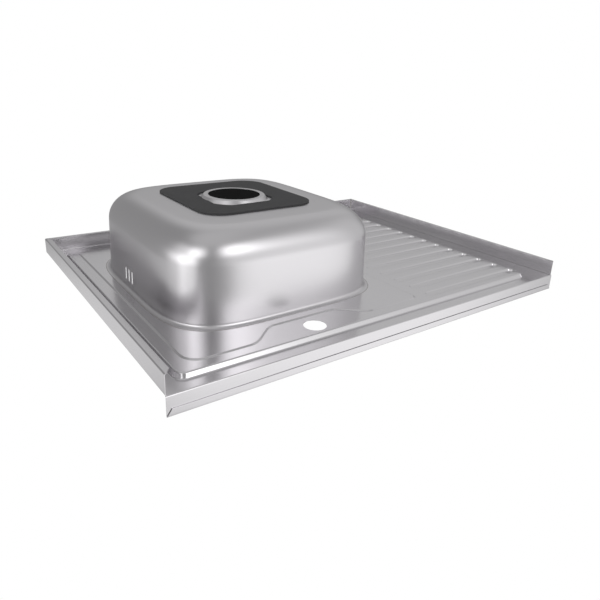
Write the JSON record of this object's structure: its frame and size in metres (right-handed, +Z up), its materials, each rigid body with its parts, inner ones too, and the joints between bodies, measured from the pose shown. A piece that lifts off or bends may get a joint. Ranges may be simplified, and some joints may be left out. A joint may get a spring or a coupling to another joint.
{
  "type": "kitchen sink with drainboard",
  "caption": "Lay-on pressed steel kitchen sink: bowl at the left with a sound pad, ribbed drainboard at the right, tap ledge, skirts and rear upstand.",
  "frame": {"origin": "on the underside of the rim, midway along the sink's width and halfway across the flat rear rim, where the rim rests on the cabinet", "axes": "+Z up as the sink is used, +X along the rear edge from the bowl towards the drainboard, +Y to the wall; the picture shows the sink upside down"},
  "size_m": [0.8, 0.6, 0.182],
  "materials": {
    "stainless_sheet": "satin stainless sheet with a soft sheen",
    "weld_metal": "dressed stainless weld",
    "damping_pad": "matt black bitumen rubber sheet"
  },
  "bodies": {
    "root": {"sink_top": "stainless_sheet", "bowl": "stainless_sheet", "bowl_seam_weld": "weld_metal", "skirt_corner_welds": "weld_metal", "sound_pad": "damping_pad"}
  },
  "joints": []
}
